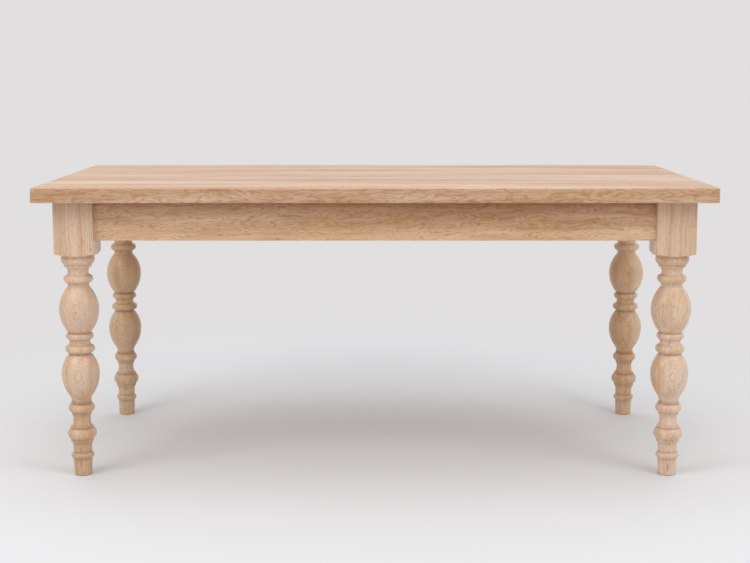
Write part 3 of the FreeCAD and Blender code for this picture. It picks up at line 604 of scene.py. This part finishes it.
def mark_seams(bm, low, high, settings):
    """Note the glue lines along a board's inner edges, where oil darkens the wood."""
    seams = [y for y in (low.y, high.y) if TABLE_LOW.y + MERGE_DISTANCE < y < TABLE_HIGH.y - MERGE_DISTANCE]
    middle = (low.y + high.y) / 2
    for y in seams:
        way = Vector((0, math.copysign(1, middle - y), 0))
        cut(bm, Vector((0, y, 0)) + way * settings.seam, way)
    layer = bm.verts.layers.float.new("oil_and_shade")
    for vert in bm.verts:
        vert[layer] = settings.seam_depth * any(abs(vert.co.y - y) < settings.seam / 2 for y in seams)


def mark_bleach_and_sheen(bm, strength):
    """Note how level each face of a board lies: the level ones are paler, from daylight bleaching and painted
    sheen.
    """
    layer = bm.faces.layers.float.new("bleach")
    for face in bm.faces:
        face[layer] = abs(face.normal.z) * strength


def make_boards(table):
    """The planks of the top, with their rounded upper arris worn by use."""
    for number, board in enumerate(BOARDS):
        low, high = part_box(board.name)
        bm = copy_node(board.name)
        make_whole(bm)
        score(bm, low, high, table.top.score_step)
        wear_arris(bm, table.top)
        mark_seams(bm, low, high, table.top)
        mark_bleach_and_sheen(bm, board.bleach)
        finish = oak(f"Oak {board.name}", (low + high) / 2, GRAIN_ALONG_X, board.heart,
                     seed_of(BOARD_SEEDS, number), BOARD_FIGURE,
                     deepen=[part * board.depth for part in BOARD_TONE])
        finish_piece(f"{board.name}_planed", bm, finish, "oak_top", board.name)


def leg_axis(name):
    """Middle of a leg in plan."""
    low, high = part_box(name)
    middle = (low + high) / 2
    return Vector((middle.x, middle.y, 0))


def mark_oil_and_shade(bm, axis, depth):
    """Note on a half outline how near each point lies to an inner corner, darkened with oil, dust and painted
    shade.
    """
    layer = bm.verts.layers.float.new("oil_and_shade")
    hollows = []
    for vert in bm.verts:
        if len(vert.link_edges) != 2:
            continue
        ways = [(edge.other_vert(vert).co - vert.co).normalized() for edge in vert.link_edges]
        out = vert.co - axis
        out.z = 0
        bend = (ways[0] + ways[1]).dot(out.normalized())
        if bend > HOLLOW_BEND:
            hollows.append((vert.co.copy(), bend))
    for vert in bm.verts:
        near = (bend * math.exp(-(vert.co - place).length / OIL_AND_SHADE_REACH) for place, bend in hollows)
        vert[layer] = depth * min(max(near, default=0), 1)


def half_outline(name, level, settings):
    """The half outline of a leg's post, cut from the leg as it was built, with its corners sanded."""
    bm = copy_node(name)
    axis = leg_axis(name)
    cut(bm, UP * level, UP, clear_front=True)
    cut(bm, axis, Vector((0, 1, 0)), clear_back=True, clear_front=True)
    cut(bm, axis, Vector((1, 0, 0)), clear_back=True)
    inner = [vert for vert in bm.verts if len(vert.link_edges) == 2]
    corners = [vert for vert in inner if vert.calc_edge_angle() > SHARP_ANGLE]
    bmesh.ops.bevel(bm, geom=corners, offset=settings.softening, offset_type="OFFSET", segments=2,
                    profile=0.5, affect="VERTICES", material=-1, clamp_overlap=True)
    mark_oil_and_shade(bm, axis, settings.oil_and_shade_depth)
    return bm


def turned_post(name, level, settings):
    """A leg's post, turned in fine steps from its half outline and open above."""
    bm = half_outline(name, level, settings)
    bmesh.ops.spin(bm, geom=bm.verts[:] + bm.edges[:], cent=leg_axis(name), axis=UP, angle=2 * math.pi,
                   steps=settings.steps, use_merge=True)
    bmesh.ops.remove_doubles(bm, verts=bm.verts[:], dist=MERGE_DISTANCE)
    return bm


def square_head(name, level):
    """A leg's square head with its mortises, as it was built and open below."""
    bm = copy_node(name)
    cut(bm, UP * level, UP, clear_back=True)
    return bm


def paint_overhang_shade(bm, low, high, settings, strength=1.0):
    """Paint shade on a piece, darker the nearer it comes to the top's underside."""
    for level in stations(low, high, settings.painted_overhang_shade_step):
        cut(bm, UP * level, UP)
    layer = bm.verts.layers.float.new("oil_and_shade")
    for vert in bm.verts:
        vert[layer] = strength * settings.painted_overhang_shade * math.exp((vert.co.z - high) / settings.painted_overhang_shade_reach)


def join(first, second):
    """The first mesh with the second added to it."""
    mesh = bpy.data.meshes.new("joined")
    second.to_mesh(mesh)
    second.free()
    first.from_mesh(mesh)
    bpy.data.meshes.remove(mesh)
    return first


def make_legs(table):
    """Legs with a square head over a post that is turned afresh in fine steps, each in one closed mesh."""
    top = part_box(PATTERN_LEG)[1].z
    level = top - table.legs.head_length
    post = turned_post(PATTERN_LEG, level, table.legs)
    for number, (corner, signs) in enumerate(CORNERS.items()):
        name = f"leg_{corner}"
        axis = leg_axis(name)
        head = square_head(name, level + table.legs.shoulder)
        # Painted shade on the head right under the top.
        paint_overhang_shade(head, level, top, table.frame, HEAD_OVERHANG_SHADE)
        turned = post.copy()
        bmesh.ops.translate(turned, verts=turned.verts[:], vec=axis - leg_axis(PATTERN_LEG))
        bm = join(turned, head)
        bmesh.ops.bridge_loops(bm, edges=[edge for edge in bm.edges if edge.is_boundary])
        bmesh.ops.recalc_face_normals(bm, faces=bm.faces[:])
        heart = (0, -table.legs.pith_distance, PITH_OFFSET * signs[0])
        finish = oak(f"Oak {name}", axis + UP * top / 2, GRAIN_ALONG_Z, heart, seed_of(LEG_SEEDS, number),
                     LEG_FIGURE, deepen=LEG_TONES_AND_SHADE[corner], burnish=table.legs.burnish)
        finish_piece(f"{name}_turned", bm, finish, "oak_legs", name)
    post.free()


def make_aprons(table):
    """The four aprons in flat-sawn oak, with shade painted on them right under the top."""
    for number, apron in enumerate(APRONS):
        low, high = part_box(apron.name)
        heart = (0, APRON_HEART_DISTANCE, apron.heart_height)
        finish = oak(f"Oak {apron.name}", (low + high) / 2, (0, 0, apron.turn), heart,
                     seed_of(APRON_SEEDS, number), APRON_FIGURE, deepen=APRON_TONE)
        bm = copy_node(apron.name)
        make_whole(bm)
        # Painted shade on the apron right under the top.
        paint_overhang_shade(bm, low.z, high.z, table.frame)
        finish_piece(f"{apron.name}_planed", bm, finish, "oak_aprons", apron.name)


def timber_turn(name):
    """Which way the grain runs in a piece of the frame's hidden timber."""
    if name.startswith("corner_brace"):
        signs = CORNERS[name.removeprefix("corner_brace_")]
        return (0, 0, -signs[0] * signs[1] * QUARTER_TURN / 2)
    across = name.startswith("cross_rail") or "_left_" in name or "_right_" in name
    return GRAIN_ALONG_Y if across else GRAIN_ALONG_X


def make_frame_timber():
    """Tongues, braces, rails and buttons, which are right as they were built, in plain unfinished oak."""
    for number, name in enumerate(sorted(frame["nodes"])):
        if not name.startswith(FRAME_TIMBER):
            continue
        low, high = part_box(name)
        finish = oak(f"Oak {name}", (low + high) / 2, timber_turn(name), TIMBER_HEART,
                     seed_of(TIMBER_SEEDS, number), TIMBER_FIGURE)
        slots = frame["nodes"][name].data.materials
        slots.clear()
        slots.append(finish)


def shells(bm):
    """The separate shells of a mesh, as lists of vertices."""
    seen = set()
    found = []
    for start in bm.verts:
        if start in seen:
            continue
        seen.add(start)
        shell = [start]
        for vert in shell:
            near = [edge.other_vert(vert) for edge in vert.link_edges]
            fresh = [other for other in near if other not in seen]
            seen.update(fresh)
            shell.extend(fresh)
        found.append(shell)
    return found


def screw_place(shell):
    """The crown of a screw's head and the way the head looks."""
    places = [vert.co for vert in shell]
    low = Vector(map(min, *places))
    high = Vector(map(max, *places))
    middle = (low + high) / 2
    extents = high - low
    tallest = max(extents)
    widest = max(extent for extent in extents if extent < tallest)
    way = Vector(int(extent == tallest) for extent in extents)
    spots = [place - middle for place in places]
    rim = [spot for spot in spots if (spot - way * spot.dot(way)).length > widest * HEAD_RIM]
    out = way * math.copysign(1, sum(spot.dot(way) for spot in rim))
    return middle + out * tallest / 2, out


def cut_recess(bm, crown, out, settings):
    """Press a cross recess for the driver into a screw's head."""
    sides = (out.orthogonal().normalized(), out.cross(out.orthogonal()).normalized())
    for way in sides:
        for reach in (settings.recess_length / 2, settings.recess_width / 2):
            cut(bm, crown + way * reach, way)
            cut(bm, crown - way * reach, way)
    pressed = {}
    for face in bm.faces:
        spot = face.calc_center_median() - crown
        reach = sorted(abs(spot.dot(way)) for way in sides)
        inside = reach[0] < settings.recess_width / 2 and reach[1] < settings.recess_length / 2
        if inside and spot.length < settings.recess_length and face.normal.dot(out) > HEAD_FACING:
            pressed.update(dict.fromkeys((face, *face.edges, *face.verts)))
    sunk = bmesh.ops.extrude_face_region(bm, geom=list(pressed))["geom"]
    sunk = [element for element in sunk if isinstance(element, bmesh.types.BMVert)]
    bmesh.ops.translate(bm, verts=sunk, vec=-out * settings.recess_depth)


def driven_screws(name, settings):
    """A set of screws as they were built, with a recess pressed into every head."""
    pattern = copy_node(name)
    found = shells(pattern)
    places = [screw_place(shell) for shell in found]
    pattern_crown, pattern_out = places[0]
    kept = set(found[0])
    bmesh.ops.delete(pattern, geom=[vert for vert in pattern.verts if vert not in kept], context="VERTS")
    pattern.normal_update()
    cut_recess(pattern, pattern_crown, pattern_out, settings)
    made = bmesh.new()
    for crown, out in places:
        turn = pattern_out.rotation_difference(out).to_matrix()
        screw = pattern.copy()
        bmesh.ops.rotate(screw, verts=screw.verts[:], cent=pattern_crown, matrix=turn)
        bmesh.ops.translate(screw, verts=screw.verts[:], vec=crown - pattern_crown)
        made = join(made, screw)
    pattern.free()
    return made


def plated_steel(settings):
    """Clouded zinc plating."""
    made = bpy.data.materials.new("Plated steel")
    tree = blank_tree(made)
    place = add(tree, "TexCoord").outputs["Object"]
    cloudy = speckle(tree, place, PLATING_GRAIN, PLATING_DETAIL)[0]
    tint = blend(tree, cloudy, opaque(settings.dark_plating), opaque(settings.pale_plating))
    dull = smooth_step(tree, cloudy, *PLATING_STEP, *PLATING_ROUGHNESS)
    show(tree, add(tree, "BsdfPrincipled", {"Base Color": tint, "Metallic": 1.0, "Roughness": dull}))
    return made


def make_screws(table):
    """Plated screws with a driver's recess."""
    steel = plated_steel(table.frame)
    for name in SCREWS:
        finish_piece(f"{name}_driven", driven_screws(name, table.frame), steel, "screw_steel", name)


# Stage

def plain_rays(tree):
    """1 where the background is seen straight, mirrored or through glass, and 0 where it only gives light."""
    seen = add(tree, "LightPath").outputs
    plain = reckon(tree, "MAXIMUM", seen["Is Camera Ray"], seen["Is Glossy Ray"])
    return reckon(tree, "MAXIMUM", plain, seen["Is Transmission Ray"])


def floor_material(settings):
    """Pale floor that keeps the shadow and melts into the background far off."""
    made = bpy.data.materials.new("Studio floor")
    tree = blank_tree(made)
    distance = vector(tree, "LENGTH", add(tree, "TexCoord").outputs["Object"])
    away = smooth_step(tree, distance, settings.floor_fade * FADE_START, settings.floor_fade)
    matte = add(tree, "BsdfDiffuse", {"Color": opaque(settings.floor_tone)}).outputs[0]
    paper = add(tree, "Emission", {"Color": opaque(settings.background)}).outputs[0]
    show(tree, add(tree, "MixShader", {0: times(tree, away, plain_rays(tree)), 1: matte, 2: paper}))
    return made


def make_floor(settings):
    """A round floor under the table."""
    bm = bmesh.new()
    bmesh.ops.create_circle(bm, cap_ends=True, segments=FLOOR_SEGMENTS, radius=settings.floor_radius)
    mesh = bpy.data.meshes.new("floor")
    bm.to_mesh(mesh)
    bm.free()
    mesh.materials.append(floor_material(settings))
    new_object("floor", mesh)


def make_world(settings):
    """Even light from all round, with a plain background where the camera looks."""
    world = bpy.data.worlds.new("Studio")
    bpy.context.scene.world = world
    tree = blank_tree(world)
    ambient = {"Color": opaque(settings.ambient_tint), "Strength": settings.ambient}
    light = add(tree, "Background", ambient).outputs[0]
    paper = add(tree, "Background", {"Color": opaque(settings.background)}).outputs[0]
    show(tree, add(tree, "MixShader", {0: plain_rays(tree), 1: light, 2: paper}), "OutputWorld")


def look_along(lamp, way):
    """Turn a lamp to shine one way."""
    lamp.rotation_euler = way.to_track_quat("-Z", "Y").to_euler()


def make_softbox(name, softbox):
    """A square lamp that looks at a target."""
    data = bpy.data.lights.new(name, "AREA")
    data.size = softbox.size
    data.energy = softbox.power
    lamp = new_object(name, data)
    lamp.location = softbox.place
    look_along(lamp, Vector(softbox.target) - Vector(softbox.place))


def make_sun(name, sun, tint):
    """A broad even light from one direction."""
    data = bpy.data.lights.new(name, "SUN")
    data.energy = sun.strength
    data.angle = sun.spread
    data.color = tint
    look_along(new_object(name, data), -Vector(sun.towards))


def make_camera(settings):
    """The camera in front of the table."""
    data = bpy.data.cameras.new("camera")
    data.lens = settings.focal_length
    data.shift_y = settings.lens_shift
    camera = new_object("camera", data)
    camera.location = (0, -settings.camera_distance, settings.camera_height)
    camera.rotation_euler = (QUARTER_TURN - settings.camera_pitch, 0, 0)
    bpy.context.scene.camera = camera


def make_stage(settings):
    """Floor, light and camera."""
    make_floor(settings)
    make_world(settings)
    for name, softbox in SOFTBOXES.items():
        make_softbox(name, softbox)
    for name, sun in SUNS.items():
        make_sun(name, sun, settings.ceiling_tint if name == "ceiling" else WHITE)
    make_camera(settings)
    bpy.context.scene.view_settings.view_transform = "Standard"


# Operators

class TABLE_OT_plank_top(bpy.types.Operator):
    """Plane the boards of the top and wear their arrises"""

    bl_idname = "farmhouse_table.plank_top"
    bl_label = "Plank top"

    def execute(self, context):
        make_boards(context.scene.farmhouse_table)
        return {"FINISHED"}


class TABLE_OT_turned_legs(bpy.types.Operator):
    """Turn the four legs under their square heads"""

    bl_idname = "farmhouse_table.turned_legs"
    bl_label = "Turned legs"

    def execute(self, context):
        make_legs(context.scene.farmhouse_table)
        return {"FINISHED"}


class TABLE_OT_aprons(bpy.types.Operator):
    """Plane and oil the four aprons"""

    bl_idname = "farmhouse_table.aprons"
    bl_label = "Aprons"

    def execute(self, context):
        make_aprons(context.scene.farmhouse_table)
        return {"FINISHED"}


class TABLE_OT_frame_timber(bpy.types.Operator):
    """Give the tongues, braces, rails and buttons their plain oak"""

    bl_idname = "farmhouse_table.frame_timber"
    bl_label = "Frame timber"

    def execute(self, context):
        make_frame_timber()
        return {"FINISHED"}


class TABLE_OT_screws(bpy.types.Operator):
    """Press the driver's recess into the screws and plate them"""

    bl_idname = "farmhouse_table.screws"
    bl_label = "Screws"

    def execute(self, context):
        make_screws(context.scene.farmhouse_table)
        return {"FINISHED"}


class TABLE_OT_stage(bpy.types.Operator):
    """Set the floor, the light and the camera"""

    bl_idname = "farmhouse_table.stage"
    bl_label = "Stage"

    def execute(self, context):
        make_stage(context.scene.farmhouse_table.stage)
        return {"FINISHED"}


class TABLE_PT_panel(bpy.types.Panel):
    """Lists the steps that dress the table, and what a user would change"""

    bl_idname = "TABLE_PT_panel"
    bl_label = "Farmhouse table"
    bl_space_type = "VIEW_3D"
    bl_region_type = "UI"
    bl_category = "Table"

    def draw(self, context):
        for operator in OPERATORS:
            self.layout.operator(operator.bl_idname)
        table = context.scene.farmhouse_table
        for group in (table.oak, table.top, table.legs, table.frame, table.stage):
            box = self.layout.box()
            for name in group.__annotations__:
                box.prop(group, name)


SETTINGS = (OakSettings, TopSettings, LegSettings, FrameSettings, StageSettings, TableSettings)
OPERATORS = (
    TABLE_OT_plank_top, TABLE_OT_turned_legs, TABLE_OT_aprons, TABLE_OT_frame_timber, TABLE_OT_screws,
    TABLE_OT_stage,
)
CLASSES = (*SETTINGS, *OPERATORS, TABLE_PT_panel)


def register():
    """Make the settings, operators and panel known."""
    for made in CLASSES:
        bpy.utils.register_class(made)
    bpy.types.Scene.farmhouse_table = PointerProperty(type=TableSettings)


def unregister():
    """Take them away again."""
    del bpy.types.Scene.farmhouse_table
    for made in reversed(CLASSES):
        bpy.utils.unregister_class(made)


def main():
    """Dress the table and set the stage."""
    register()
    bpy.ops.farmhouse_table.plank_top()
    bpy.ops.farmhouse_table.turned_legs()
    bpy.ops.farmhouse_table.aprons()
    bpy.ops.farmhouse_table.frame_timber()
    bpy.ops.farmhouse_table.screws()
    bpy.ops.farmhouse_table.stage()


if __name__ == "__main__":
    main()
